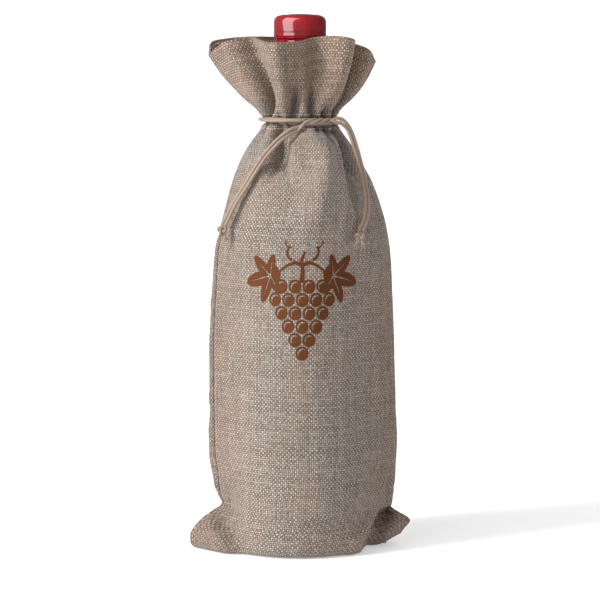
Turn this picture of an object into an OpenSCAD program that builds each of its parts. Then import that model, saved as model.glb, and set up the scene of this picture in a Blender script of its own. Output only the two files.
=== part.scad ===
// Drawstring gift bag of linen-look cloth, tied round the neck of a full wine bottle.
// Millimetres, +Z up. The origin is on the bottle's axis at the table; the front faces -Y.

/* [Bag] */
// Width of the filled bag at its widest
body_w = 107; // [105:0.5:112]
// Depth of the filled bag, front to back
body_d = 80; // [80:0.5:86]
// Span of the two bottom corners
corner_w = 126; // [120:1:136]
// Thickness of the cloth with its fuzz
cloth_t = 1.1; // [0.8:0.1:1.2]
// Width of the sewn allowance inside each side seam
side_allowance = 3; // [2:0.5:3]
// Width of the sewn allowance inside the bottom
bottom_allowance = 8; // [5:0.5:12]

/* [Neck and ruffle] */
// Height of the tie above the table
tie_z = 244; // [242:0.5:246]
// Outside diameter of the gathered neck
neck_d = 38.8; // [38.4:0.2:39.2]
// Diameter of the throat that the bottle's neck passes through
throat_d = 30; // [30:0.1:30.4]
// Height of the string channel
channel_h = 11; // [9:0.5:12]
// Width of the ruffle across its wings
ruffle_w = 94; // [84:1:100]
// Depth of the ruffle, front to back
ruffle_d = 50; // [46:1:56]
// How far the ruffle leans to the left
ruffle_lean = 4; // [0:0.5:6]
// Height of the rim at the wings
rim_z = 279; // [276:1:282]
// How much higher the rim stands at the front and back
rim_rise = 10; // [4:1:12]

/* [Drawstrings] */
// Diameter of the cord
cord_d = 1.8; // [1.4:0.1:1.8]
// Diameter of the end knots
knot_d = 5.2; // [4.6:0.2:5.6]
// Length of the cut ends below the knots
fray_l = 4.5; // [3:0.5:6]

/* [Bottle] */
// Diameter of the bottle's body
bottle_d = 75; // [73:0.5:75]
// Height of the bottle
bottle_h = 300; // [299:0.5:301]
// Height of the bottle's foot above the table, on cloth and seam
foot_z = 2.6; // [2.6:0.1:3]
// Thickness of the glass
glass_t = 2.4; // [2.2:0.1:3.2]
// Bore of the mouth
mouth_d = 18.5; // [18:0.1:19]
// Length of the cork
cork_l = 44; // [38:1:49]
// Length of the capsule
capsule_l = 55; // [50:1:56]
// Thickness of the capsule's foil
foil_t = 0.3; // [0.2:0.05:0.4]

/* [Print] */
// Radius of one printed grape
grape_r = 4.1; // [3.5:0.1:4.2]
// Height of the middle of the bunch
print_z = 136; // [130:1:140]
// Thickness of the ink with the raised threads under it
ink_t = 0.4; // [0.3:0.1:0.6]

/* [Hidden] */
$fn = 48;

LINEN = [0.66, 0.60, 0.53];
LINING = [0.58, 0.52, 0.45];
THREAD = [0.74, 0.68, 0.60];
CORD = [0.80, 0.69, 0.60];
INK = [0.43, 0.24, 0.09];
CAPSULE_RED = [0.62, 0.06, 0.09];

neck_r = neck_d / 2;
throat_r = throat_d / 2;
half_w = body_w / 2;
half_d = body_d / 2;
half_corner = corner_w / 2;
gap = 0.1;
fit_gap = 0.05;

// ---- Cloth ------------------------------------------------------------------------------
// A cross-section is [height, half width, centre x, half depth, pinch, rise, slit].
// Pinch 0 is an ellipse, and more pinch draws the sides out to a point along the seams.
// Rise lifts the middle of the front and of the back. Slit is the angle left open at each
// side seam, where the drawstrings come out of the channel.
slit = 8;
body_sections = [
    [0, half_corner - 3, 0, 0, 0, 0],
    [0, half_corner - 1, 0, half_d - 2, 1.4, 0],
    [5, half_corner, 0, half_d + 1, 1.4, 0],
    [16, half_w, 0, half_d + 1, 0.9, 0],
    [28, half_w - 4, 0, half_d + 0.5, 0.5, 0],
    [60, half_w, 1, half_d, 0.3, 0],
    [110, half_w, 1, half_d, 0.25, 0],
    [150, half_w - 2, 1, half_d, 0.2, 0],
    [170, half_w - 3.5, 1, half_d, 0.15, 0],
    [185, half_w - 6, 1, half_d, 0.1, 0],
    [197, half_w - 8.5, 1, half_d - 0.5, 0.1, 0],
    [210, half_w - 14, 1, half_d - 3, 0, 0],
    [222, 34, 0.5, 31, 0, 0],
    [232, 28.5, 0, 26, 0, 0]];
neck_sections = [
    [tie_z - channel_h / 2, neck_r + 1.6, 0, neck_r + 1.6, 0, 0],
    [tie_z - 3, neck_r, 0, neck_r, 0, 0, slit],
    [tie_z + 3, neck_r, 0, neck_r, 0, 0, slit],
    [tie_z + channel_h / 2 + 1, neck_r + 1.6, -0.5, neck_r + 0.6, 0, 0]];
ruffle_sections = [
    [tie_z + 15, ruffle_w / 2 - 20, -ruffle_lean * 0.4, ruffle_d / 2 - 4, 0, rim_rise * 0.1],
    [tie_z + 23, ruffle_w / 2 - 12, -ruffle_lean * 0.6, ruffle_d / 2 - 2.5, 0.1, rim_rise * 0.4],
    [tie_z + 29, ruffle_w / 2 - 5, -ruffle_lean * 0.8, ruffle_d / 2 - 1, 0.15, rim_rise * 0.7],
    [rim_z, ruffle_w / 2, -ruffle_lean, ruffle_d / 2, 0.2, rim_rise]];
panel_sections = concat(body_sections, neck_sections, ruffle_sections);

// The facing lines the ruffle, and in the channel it stands in to leave room for the cords.
facing_t = 0.9;
channel_sections = [for (z = [tie_z - channel_h / 2, tie_z + channel_h / 2 - 1])
    [z, throat_r + facing_t, 0, throat_r + facing_t, 0, 0]];
facing_sections = concat(channel_sections,
    [for (s = concat([neck_sections[3]], ruffle_sections))
        [s[0] + (s[0] < rim_z ? 2 : 0), s[1] - cloth_t - gap, s[2], s[3] - cloth_t - gap, s[4], s[5]]]);

columns = 18;

// A point of a section at a share of its half turn, moved in by inset. The bottom moves up
// by inset instead.
function section_point(s, share, inset) = let (
        open = is_undef(s[6]) ? 0 : s[6],
        t = open + (180 - 2 * open) * share,
        side = pow(sin(t), 1 + s[4]))
    [s[2] + (s[1] - inset) * cos(t),
     max(s[3] - inset, 0) * side,
     s[0] + s[5] * side + (s[0] == 0 ? inset : 0)];

// The back half of a bag wall: an outer skin, an inner skin, and the strips that join them.
module back_wall(sections, wall) {
    rows = len(sections);
    stride = columns + 1;
    skins = [for (inset = [0, wall]) for (s = sections) for (j = [0:columns])
        section_point(s, j / columns, inset)];
    function o(i, j) = i * stride + j;
    function n(i, j) = (rows + i) * stride + j;
    function quad(a, b, c, d) = [[a, b, c], [a, c, d]];
    // The two halves split their quads the opposite way, which leaves no flat triangle at the
    // ends of the closed bottom row
    faces = concat(
        [for (i = [0:rows - 2]) for (j = [0:columns - 1]) each j < columns / 2
            ? concat(quad(o(i, j), o(i + 1, j), o(i + 1, j + 1), o(i, j + 1)),
                     quad(n(i, j), n(i, j + 1), n(i + 1, j + 1), n(i + 1, j)))
            : concat(quad(o(i + 1, j), o(i + 1, j + 1), o(i, j + 1), o(i, j)),
                     quad(n(i, j + 1), n(i + 1, j + 1), n(i + 1, j), n(i, j)))],
        [for (i = [0:rows - 2]) each concat(
            quad(o(i, 0), n(i, 0), n(i + 1, 0), o(i + 1, 0)),
            quad(o(i, columns), o(i + 1, columns), n(i + 1, columns), n(i, columns)))],
        [for (j = [0:columns - 1]) each concat(
            quad(o(0, j), o(0, j + 1), n(0, j + 1), n(0, j)),
            quad(o(rows - 1, j), n(rows - 1, j), n(rows - 1, j + 1), o(rows - 1, j + 1)))]);
    polyhedron(points = skins, faces = faces);
}

module back_panel() {
    color(LINEN) back_wall(panel_sections, cloth_t);
}

module front_panel() {
    mirror([0, 1, 0]) back_panel();
}

module back_facing() {
    color(LINING) back_wall(facing_sections, facing_t);
}

module front_facing() {
    mirror([0, 1, 0]) back_facing();
}

// ---- Seams ------------------------------------------------------------------------------
// The allowance is a folded strip just inside the side, from the bottom to the channel.
module side_seam(side) {
    edge = [for (s = body_sections) if (s[0] > 0)
        [side * s[2] + s[1] - cloth_t - 0.5, s[0]]];
    strip = concat(edge, [for (i = [len(edge) - 1:-1:0]) edge[i] - [side_allowance, 0]]);
    color(THREAD)
        scale([side, 1, 1])
            rotate([90, 0, 0])
                linear_extrude(height = 1.4, center = true)
                    polygon(strip);
}

module left_side_seam() side_seam(-1);
module right_side_seam() side_seam(1);

module bottom_seam() {
    seam_t = 1.1;
    color(THREAD)
        translate([-half_w + 4, 0, cloth_t + gap / 2])
            cube([body_w - 8, bottom_allowance, seam_t]);
}

module channel_stitching() {
    thread_d = 0.5;
    color(THREAD)
        for (z = [-1, 1])
            translate([0, 0, tie_z + z * 4.2])
                rotate_extrude()
                    translate([neck_r + 1.1 + thread_d / 2, 0])
                        circle(d = thread_d, $fn = 16);
}

// ---- Drawstrings held by the bag --------------------------------------------------------
// Each drawstring is a ring in the channel. Its two strands come out of a seam gap, lie one
// outside the other on the neck, and meet the half knot.
ring_r = (throat_r + facing_t + neck_r - cloth_t) / 2;
strand_step = cord_d + 0.04;
knot_r = neck_r + 2.4;
knot_start = 272;
knot_end = 322;
exit_turn = 3;

module held_drawstring(exit_angle, knot_angle, level) {
    turn = knot_angle > exit_angle ? 1 : -1;
    color(CORD) {
        translate([0, 0, tie_z + level])
            rotate_extrude()
                translate([ring_r, 0])
                    circle(d = cord_d, $fn = 24);
        for (k = [-1, 1]) {
            start = exit_angle - turn * k * exit_turn;
            r = knot_r + k * strand_step / 2;
            rotate([0, 0, start])
                translate([ring_r, 0, tie_z + level])
                    rotate([0, 90, 0])
                        cylinder(d = cord_d - 0.2, h = r - ring_r, $fn = 24);
            rotate([0, 0, min(start, knot_angle)])
                translate([0, 0, tie_z + level])
                    rotate_extrude(angle = abs(knot_angle - start))
                        translate([r, 0])
                            circle(d = cord_d, $fn = 24);
        }
    }
}

module left_drawstring() held_drawstring(180, knot_start, strand_step / 2);
module right_drawstring() held_drawstring(360, knot_end, -strand_step / 2);

module half_knot() {
    color(CORD)
        translate([0, 0, tie_z])
            rotate([0, 0, knot_start])
                rotate_extrude(angle = knot_end - knot_start)
                    translate([knot_r, 0])
                        circle(d = 2.4 * cord_d, $fn = 32);
}

// ---- Free strands -----------------------------------------------------------------------
// Route of each strand's centre line, from the half knot to its end knot
left_route_a = [
    [-1.5, -23.5, 241], [-4, -24.5, 240.5], [-7.5, -25.5, 239], [-11, -26, 236.5], [-14.5, -26.5, 233.5],
    [-18, -27, 230], [-21.5, -27, 226], [-24.5, -27, 221.5], [-27.5, -26.5, 217], [-30.5, -26, 212],
    [-33.5, -25.5, 207], [-36.5, -24, 202], [-39, -22.5, 197], [-41, -21, 192], [-43, -19, 187]];
left_route_b = [
    [-1.5, -23.5, 239], [-4, -24.5, 238], [-7, -25.5, 236], [-10, -26.5, 233.5], [-13, -27.5, 230.5],
    [-16, -28, 227], [-19, -28.5, 223], [-22, -29, 218.5], [-25, -29, 213.5], [-28, -29, 208.5],
    [-31.5, -28, 203.5], [-34.5, -26.5, 199], [-37, -25, 194.5], [-39.5, -22.5, 190], [-42, -20.5, 186]];
right_route_a = [
    [20.5, -15.5, 246], [23, -15, 245.5], [25.5, -14.5, 244], [28, -14, 241], [30, -14, 237],
    [31.5, -15, 232.5], [33, -16, 227.5], [34.5, -17, 222], [36, -18.5, 216], [37, -20.5, 210],
    [38, -22.5, 204], [38.5, -24.5, 198.5], [38, -27, 193], [36.5, -29.5, 188], [34.5, -31.5, 183.5]];
right_route_b = [
    [20.5, -16.5, 243.5], [22.5, -16, 243], [24.5, -15.5, 241.5], [26.5, -15.5, 238.5], [28, -16, 234.5],
    [29.5, -17, 230], [31, -18, 225], [32.5, -19.5, 219.5], [34, -21, 213.5], [35, -23, 208],
    [36, -25, 202], [36, -27, 196.5], [35.5, -29, 191.5], [34, -30.5, 187], [32.5, -32, 183.5]];
left_knot_at = [-43.5, -21, 183.5];
right_knot_at = [33, -33.5, 181];

function unit(v) = v / norm(v);

// A round cord swept along a route, with one ring of corners at each route point
module swept_cord(route) {
    sides = 8;
    last = len(route) - 1;
    points = [for (i = [0:last])
        let (along = unit(route[min(i + 1, last)] - route[max(i - 1, 0)]),
             across = unit(cross(along, [0, 1, 0])),
             out = cross(across, along))
        for (k = [0:sides - 1])
            route[i] + cord_d / 2 * (cos(360 * k / sides) * across + sin(360 * k / sides) * out)];
    walls = [for (i = [0:last - 1]) for (k = [0:sides - 1])
        let (next = (k + 1) % sides)
        each [[i * sides + k, (i + 1) * sides + k, (i + 1) * sides + next],
              [i * sides + k, (i + 1) * sides + next, i * sides + next]]];
    caps = [[for (k = [0:sides - 1]) k],
            [for (k = [sides - 1:-1:0]) last * sides + k]];
    color(CORD) polyhedron(points = points, faces = concat(walls, caps));
}

module left_tail_a() swept_cord(left_route_a);
module left_tail_b() swept_cord(left_route_b);
module right_tail_a() swept_cord(right_route_a);
module right_tail_b() swept_cord(right_route_b);

module end_knot(at) {
    color(CORD) translate(at) sphere(d = knot_d);
}

module left_end_knot() end_knot(left_knot_at);
module right_end_knot() end_knot(right_knot_at);

// Two cut ends that leave the knot downwards, spread apart by a small angle
module frays(at) {
    spread = 14;
    color(CORD)
        for (side = [-1, 1])
            translate(at + [side * 1.1, 0, 0])
                rotate([0, 180 - side * spread, 0])
                    translate([0, 0, knot_d / 2 - 1])
                        cylinder(d = cord_d * 0.9, h = fray_l, $fn = 16);
}

module left_frays() frays(left_knot_at);
module right_frays() frays(right_knot_at);

// ---- Print ------------------------------------------------------------------------------
function column_of(k) = [for (s = body_sections) if (s[0] > 0) [s[0], s[k]]];
function angle_at(x, z) = acos((x - lookup(z, column_of(2))) / lookup(z, column_of(1)));
// The front of the cloth at a place across and up the bag
function front_y(x, z) = -lookup(z, column_of(3)) * pow(sin(angle_at(x, z)), 1 + lookup(z, column_of(4)));

// A printed dot that lies on the front cloth
module dot(x, z, r) {
    slope = atan((front_y(x + 1, z) - front_y(x - 1, z)) / 2);
    translate([x, front_y(x, z), z])
        rotate([90, 0, slope])
            translate([0, 0, gap])
                cylinder(r = r, h = ink_t);
}

// Lobes of the right leaf: [across from the stalk, above the top row's pitch line, radius]
leaf_lobes = [[10, 3, 3.6], [18.5, 6.5, 4.8], [27, 1.5, 3.8], [30, 10, 3.8], [21.5, 16, 4]];

// A bunch of grapes with a stalk and a leaf on each side, laid out in dots
module printed_motif() {
    grapes_in_row = [4, 5, 4, 3, 2, 1];
    stalk_pitch = 3.6;
    stalk_r = 1.6;
    pitch = 2 * grape_r;
    row_h = pitch * sqrt(3) / 2;
    top = print_z + 3 * row_h;
    color(INK) {
        for (i = [0:len(grapes_in_row) - 1])
            for (k = [0:grapes_in_row[i] - 1])
                dot((k - (grapes_in_row[i] - 1) / 2) * pitch, top - (i + 1) * row_h, grape_r - 0.2);
        for (k = [0:3])
            dot(0, top + k * stalk_pitch, stalk_r);
        for (side = [-1, 1])
            for (lobe = leaf_lobes)
                dot(side * lobe[0], top + lobe[1], lobe[2]);
    }
}

// ---- Bottle -----------------------------------------------------------------------------
bottle_r = bottle_d / 2;
shoulder_z = 183.4;
shoulder_r = 24;
saddle_r = 21.4;
shoulder_turn = 60;
neck_base_r = bottle_r - (shoulder_r + saddle_r) * (1 - cos(shoulder_turn));
neck_base_z = shoulder_z + (shoulder_r + saddle_r) * sin(shoulder_turn);
finish_r = 14.3;
neck_foot_r = 13.9;
neck_top_r = 13.7;
collar_z = bottle_h - 10.6;
lip_r = 3.6;  // rounding of the bottle's lip

// The lip's rounding, moved out by gap, from the side up to an angle
function lip(gap, last) =
    [for (a = [0:15:last]) [finish_r - lip_r + (lip_r + gap) * cos(a), bottle_h - lip_r + (lip_r + gap) * sin(a)]];

// Outline of the bottle above its foot, moved in by inset, up to the collar
function bottle_side(inset) = concat(
    [[bottle_r - inset, shoulder_z]],
    [for (a = [10:10:shoulder_turn])
        [bottle_r - shoulder_r + (shoulder_r - inset) * cos(a),
         shoulder_z + (shoulder_r - inset) * sin(a)]],
    [for (a = [shoulder_turn - 10:-10:0])
        [neck_base_r + saddle_r - (saddle_r + inset) * cos(a),
         neck_base_z - (saddle_r + inset) * sin(a)]]);

outer_outline = concat(
    [[0, 18], [9, 17], [17, 13], [25, 6], [30, 0.6], [32, 0], [34.5, 0.5], [36.8, 2.5], [bottle_r, 6]],
    bottle_side(0),
    [[neck_foot_r, 242], [neck_top_r, collar_z - 0.5], [finish_r, collar_z]], lip(0, 90));
inner_outline = concat(
    [[0, 21], [10, 20], [18.5, 16], [26, 9.5], [31, 5.5], [33, 5.5], [bottle_r - glass_t, 8.5]],
    bottle_side(glass_t),
    [[mouth_d / 2 + 0.8, 236], [mouth_d / 2, 246]]);

module bottle_glass() {
    inside = concat(inner_outline, [[mouth_d / 2, bottle_h]]);
    color([0.09, 0.14, 0.07])
        translate([0, 0, foot_z])
            rotate_extrude($fn = 96)
                polygon(concat(outer_outline, [for (i = [len(inside) - 1:-1:0]) inside[i]]));
}

module wine() {
    fill_z = 238;
    skin = 0.1;
    wet = [for (p = inner_outline) if (p[1] < fill_z)
        p[0] < 34 && p[1] < 25 ? p + [0, skin] : p + [-skin, skin / 10]];
    color([0.25, 0.02, 0.06])
        translate([0, 0, foot_z])
            rotate_extrude($fn = 96)
                polygon(concat(wet, [[0, wet[len(wet) - 1][1]]]));
}

module cork() {
    color([0.76, 0.60, 0.42])
        translate([0, 0, foot_z + bottle_h - cork_l - 1])
            cylinder(d = mouth_d - 0.1, h = cork_l);
}

module capsule_sleeve() {
    foot = bottle_h - capsule_l;
    inside = [[neck_foot_r + fit_gap, foot], [neck_top_r + fit_gap + 0.02, collar_z - 0.6],
        [finish_r + fit_gap, collar_z - 0.1]];
    shell = [for (i = [len(inside) - 1:-1:0]) inside[i] + [foil_t, 0]];
    over = lip(fit_gap + foil_t, 75);
    color(CAPSULE_RED)
        translate([0, 0, foot_z])
            rotate_extrude($fn = 64)
                polygon(concat(inside, lip(fit_gap, 75), [for (i = [len(over) - 1:-1:0]) over[i]], shell));
}

module capsule_top() {
    color(CAPSULE_RED)
        translate([0, 0, foot_z + bottle_h + fit_gap])
            cylinder(r = finish_r - lip_r + 0.55, h = foil_t);
}

front_panel();
back_panel();
front_facing();
back_facing();
left_side_seam();
right_side_seam();
bottom_seam();
channel_stitching();
left_drawstring();
right_drawstring();
half_knot();
left_tail_a();
left_tail_b();
right_tail_a();
right_tail_b();
left_end_knot();
right_end_knot();
left_frays();
right_frays();
printed_motif();
bottle_glass();
wine();
cork();
capsule_sleeve();
capsule_top();
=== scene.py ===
"""Looks of a drawstring gift bag of linen-look cloth, tied round the neck of a wine bottle.
Shapes are worked out in millimetres, +Z up, front facing -Y, and go into Blender in metres."""
import math

import bpy
import numpy as np
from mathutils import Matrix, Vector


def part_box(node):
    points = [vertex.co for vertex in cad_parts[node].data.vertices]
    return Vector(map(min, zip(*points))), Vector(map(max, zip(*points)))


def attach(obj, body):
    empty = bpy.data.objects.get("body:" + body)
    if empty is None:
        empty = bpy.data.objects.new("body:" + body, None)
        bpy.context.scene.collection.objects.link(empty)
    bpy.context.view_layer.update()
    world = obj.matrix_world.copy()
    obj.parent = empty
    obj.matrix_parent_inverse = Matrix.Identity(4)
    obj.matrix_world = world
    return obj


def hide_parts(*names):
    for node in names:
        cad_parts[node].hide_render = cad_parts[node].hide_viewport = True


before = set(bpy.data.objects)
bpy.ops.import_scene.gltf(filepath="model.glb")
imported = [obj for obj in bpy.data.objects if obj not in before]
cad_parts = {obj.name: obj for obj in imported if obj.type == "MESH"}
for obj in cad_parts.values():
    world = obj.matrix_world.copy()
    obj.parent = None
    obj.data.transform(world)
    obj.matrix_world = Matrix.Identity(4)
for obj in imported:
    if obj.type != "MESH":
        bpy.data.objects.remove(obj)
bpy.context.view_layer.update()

MM = 0.001
WHITE = (1.0, 1.0, 1.0, 1.0)
CORD_D = 1.8
FREE_CORD_R = 1.0
CORD_RELIEF = 0.09
TIE_Z = 244.0
PANEL_FLAT, FACING_FLAT = (0.150, 0.345), (0.150, 0.048)
PANEL_W = PANEL_FLAT[0] / MM
BACK_WEAVE_AT = 40.3
WARP_PITCH, WEFT_PITCH = 1.3, 1.2
ROUND_CORD = 1000.0


# ---- Camera and light ----
def add_object(name, data):
    thing = bpy.data.objects.new(name, data)
    bpy.context.scene.collection.objects.link(thing)
    return thing


def add_camera():
    data = bpy.data.cameras.new("camera")
    data.sensor_width = 36.0
    data.lens = 148.6
    camera = add_object("camera", data)
    distance, height, aim = 1.4, 0.300, 0.142
    camera.location = (0.0, -distance, height)
    camera.rotation_euler = (math.pi / 2 - math.atan2(height - aim, distance), 0.0, 0.0)
    bpy.context.scene.camera = camera


def add_lamp(name, kind, place, power, colour, mirrored=False, **settings):
    """A lamp aimed at the bag. If mirrored, it only shows as a highlight on glossy pieces."""
    data = bpy.data.lights.new(name, kind)
    data.energy, data.color = power, colour
    for key, value in settings.items():
        setattr(data, key, value)
    lamp = add_object(name, data)
    lamp.visible_glossy = mirrored
    lamp.visible_diffuse = not mirrored
    lamp.location = place
    x, y, z = np.array((0.0, 0.0, 0.15)) - np.array(place)
    lamp.rotation_euler = (math.acos(-z / math.sqrt(x * x + y * y + z * z)), 0.0, math.atan2(-x, y))


SOFTBOXES = (("left_box", (-0.98, -0.68, 0.55), 1.15, 1.2, 12.8, (1.0, 0.99, 0.98)),
             ("shine", (-0.98, -0.64, 0.8), 1.35, 2.4, 46.0, (1.0, 0.98, 0.99)),
             ("right_box", (1.1, -0.15, 0.4), 0.8, 0.9, 4.2, (1.0, 0.98, 1.0)),
             ("back_box", (0.7, 0.9, 0.8), 0.8, 0.8, 3.0, WHITE[:3]))


def add_studio():
    add_lamp("key", "SUN", (-1.15, -0.62, 0.95), 3.0, (1.0, 0.99, 0.97), angle=math.radians(12.0))
    for name, place, wide, tall, power, colour in SOFTBOXES:
        add_lamp(name, "AREA", place, power, colour, name == "shine",
                 shape="RECTANGLE", size=wide, size_y=tall)
    world = bpy.data.worlds.new("studio")
    world.use_nodes = True
    n = Nodes(world.node_tree)
    background = world.node_tree.nodes["Background"]
    side, behind, _ = n.split(n.add("ShaderNodeTexCoord").outputs["Generated"])
    from_left = n.clamp(side, -0.8, 0.9, 0.62, 0.2)
    from_front = n.clamp(behind, -0.2, 0.5, 1.0, 0.4)
    background.inputs["Color"].default_value = WHITE
    n.put(background.inputs["Strength"], n.mul(from_left, from_front))
    bpy.context.scene.world = world
    bpy.context.scene.view_settings.view_transform = "Standard"


def add_floor():
    """A pale sheet that curves up behind, as in a studio."""
    half, rise, bend, steps, far = 3.0, 4.0, 1.5, 16, 24.0
    profile = [(-far, 0.0), *((half - bend + bend * math.sin(turn), bend * (1.0 - math.cos(turn)))
                              for turn in np.linspace(0.0, math.pi / 2, steps + 1)), (half, rise)]
    points = np.array([(x, y, z) for y, z in profile for x in (-far, far)]) / MM
    faces = [(2 * k, 2 * k + 1, 2 * k + 3, 2 * k + 2) for k in range(len(profile) - 1)]
    material, _ = new_material("paper", {"Base Color": (0.7, 0.7, 0.7, 1.0), "Emission Color": WHITE,
                                         "Emission Strength": 0.36, "Roughness": 0.7})
    floor = add_mesh("floor", points, faces, material)
    floor.visible_glossy = False


# ---- Node helpers ----
def new_material(name, values):
    """A material, with these values on its shader, and what draws nodes in it."""
    material = bpy.data.materials.new(name)
    material.use_nodes = True
    shader = material.node_tree.nodes["Principled BSDF"]
    for socket, value in values.items():
        shader.inputs[socket].default_value = value
    return material, Nodes(material.node_tree, shader)


class Nodes:
    """Short ways to add shader nodes. A value may be a number, a colour or an output."""

    def __init__(self, tree, shader=None):
        self.tree = tree
        self.shader = shader

    def put(self, socket, value):
        if isinstance(value, bpy.types.NodeSocket):
            self.tree.links.new(value, socket)
        else:
            socket.default_value = value

    def add(self, kind, inputs=(), **settings):
        """A node. inputs holds its first inputs in order, or a dictionary of them."""
        node = self.tree.nodes.new(kind)
        for name, value in settings.items():
            setattr(node, name, value)
        for key, value in (inputs.items() if isinstance(inputs, dict) else enumerate(inputs)):
            self.put(node.inputs[key], value)
        return node

    def math(self, operation, a, b=0.0, c=0.0):
        return self.add("ShaderNodeMath", (a, b, c), operation=operation).outputs[0]

    def mul(self, a, b):
        return self.math("MULTIPLY", a, b)

    def mul_add(self, a, b, c):
        return self.math("MULTIPLY_ADD", a, b, c)

    def clamp(self, value, low=0.0, high=1.0, to_low=0.0, to_high=1.0):
        return self.add("ShaderNodeMapRange", (value, low, high, to_low, to_high)).outputs[0]

    def mix(self, share, a, b, blend="MIX"):
        node = self.add("ShaderNodeMix", {0: share, 6: a, 7: b}, data_type="RGBA", blend_type=blend)
        return node.outputs[2]

    def choose(self, share, a, b):
        return self.add("ShaderNodeMix", {0: share, 2: a, 3: b}, data_type="FLOAT").outputs[0]

    def noise(self, place, scale, detail=2.0, roughness=0.5):
        inputs = {"Vector": place, "Scale": scale, "Detail": detail, "Roughness": roughness}
        return self.add("ShaderNodeTexNoise", inputs).outputs["Fac"]

    def streaks(self, x, y, x_rate, y_rate, detail=2.0, z=0.0):
        """Noise over two numbers, each at its own rate."""
        place = self.add("ShaderNodeCombineXYZ", (self.mul(x, x_rate), self.mul(y, y_rate), z))
        return self.noise(place.outputs[0], 1.0, detail)

    def white(self, value):
        return self.add("ShaderNodeTexWhiteNoise", {"W": value}, noise_dimensions="1D").outputs["Value"]

    def split(self, vector):
        return self.add("ShaderNodeSeparateXYZ", (vector,)).outputs

    def position(self):
        return self.add("ShaderNodeTexCoord").outputs["Object"]

    def cloth_uv(self):
        return self.split(self.add("ShaderNodeUVMap", uv_map="Cloth").outputs["UV"])[:2]

    def shade(self, name, value):
        self.put(self.shader.inputs[name], value)

    def bump(self, height, distance, strength=1.0):
        inputs = {"Strength": strength, "Distance": distance, "Height": height}
        self.shade("Normal", self.add("ShaderNodeBump", inputs).outputs["Normal"])


def rgb(red, green, blue):
    """A display colour, 0 to 255, as linear light."""
    shares = (red / 255.0, green / 255.0, blue / 255.0)
    return (*(v / 12.92 if v <= 0.04045 else ((v + 0.055) / 1.055) ** 2.4 for v in shares), 1.0)


# ---- Materials ----
def weave_pattern(n):
    """Height of a plain weave, which thread is on top, the numbers of its two threads, and
    the place on the cloth, in metres along its width and its length."""
    across, along = n.cloth_uv()
    wobble_a = n.streaks(across, along, 90.0, 260.0, 1.0)
    wobble_b = n.streaks(across, along, 260.0, 90.0, 1.0, 3.0)
    a = n.mul_add(across, 1.0 / (WARP_PITCH * MM), n.mul(wobble_a, 0.7))
    b = n.mul_add(along, 1.0 / (WEFT_PITCH * MM), n.mul(wobble_b, 0.7))
    warp, weft = n.math("FLOOR", a), n.math("FLOOR", b)
    in_a = n.math("SUBTRACT", n.math("SUBTRACT", a, warp), 0.5)
    in_b = n.math("SUBTRACT", n.math("SUBTRACT", b, weft), 0.5)
    warp_up = n.math("FLOORED_MODULO", n.math("ADD", warp, weft), 2.0)

    def crown(width, length):
        """The thread on top is round across its width and only dips a little at its ends."""
        return n.mul(n.math("COSINE", n.mul(width, math.pi * 0.93)),
                     n.math("COSINE", n.mul(length, math.pi * 0.68)))

    height = n.math("POWER", n.choose(warp_up, crown(in_b, in_a), crown(in_a, in_b)), 0.6)
    return height, warp_up, warp, weft, across, along


def linen(name, light, middle, dark):
    """Linen-look cloth: pale and brown threads of uneven thickness, with slubs along them."""
    material, n = new_material(name, {"Specular IOR Level": 0.2, "Sheen Weight": 0.12,
                                      "Sheen Roughness": 0.5})
    height, warp_up, warp, weft, across, along = weave_pattern(n)
    warp_tone = n.white(n.math("ADD", warp, 0.37))
    weft_tone = n.white(n.mul_add(weft, 1.7, 91.3))
    slub_a = n.streaks(across, along, 700.0, 45.0)
    slub_b = n.streaks(across, along, 45.0, 700.0, z=7.0)
    warp_light = n.mul_add(slub_a, 0.6, n.mul(warp_tone, 0.22))
    weft_light = n.mul_add(slub_b, 0.55, n.mul(weft_tone, 0.18))
    thread = n.choose(warp_up, n.math("SUBTRACT", weft_light, 0.08), n.math("ADD", warp_light, 0.16))
    speck = n.white(n.mul_add(warp, 12.99, n.mul(weft, 78.23)))
    tone = n.clamp(n.mul_add(speck, 0.27, thread), 0.3, 0.98)
    place = n.position()
    patches = n.clamp(n.noise(place, 45.0, 3.0), 0.4, 0.75)
    colour = n.mix(tone, n.mix(n.mul(patches, 0.45), middle, rgb(158, 120, 98)), light)
    colour = n.mix(n.clamp(height, 0.15, 0.9), dark, colour)
    # Painted shade: the cloth is darkened and browned at its two sides and in the ruffle, in place of the
    # warm shade and bounced light between the folds.
    side, _, height_up = n.split(place)
    painted_shade_tint = n.mix(n.clamp(n.math("ABSOLUTE", side), 0.022, 0.05), WHITE, (0.86, 0.785, 0.735, 1.0))
    painted_shade_tint = n.mix(n.clamp(height_up, 0.243, 0.26), painted_shade_tint, (0.97, 0.85, 0.77, 1.0))
    n.shade("Base Color", n.mix(1.0, colour, painted_shade_tint, "MULTIPLY"))
    n.shade("Roughness", n.mul_add(tone, -0.1, 0.92))
    fuzz = n.noise(place, 2400.0, 2.0)
    lifted = n.mul_add(warp_up, 0.35, height)
    n.bump(n.mul_add(tone, 0.2, n.mul_add(fuzz, 0.15, lifted)), 0.00055)
    return material


def ink():
    """Brown ink that has soaked into the threads, so the weave shows through it."""
    material, n = new_material("ink", {"Roughness": 0.75, "Specular IOR Level": 0.25})
    height = weave_pattern(n)[0]
    worn = n.clamp(n.noise(n.position(), 900.0, 3.0), 0.62, 0.8)
    colour = n.mix(n.clamp(height, 0.1, 0.9), rgb(50, 25, 5), rgb(92, 48, 12))
    n.shade("Base Color", n.mix(worn, colour, rgb(108, 64, 30)))
    n.bump(height, 0.0002, 0.6)
    return material


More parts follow.
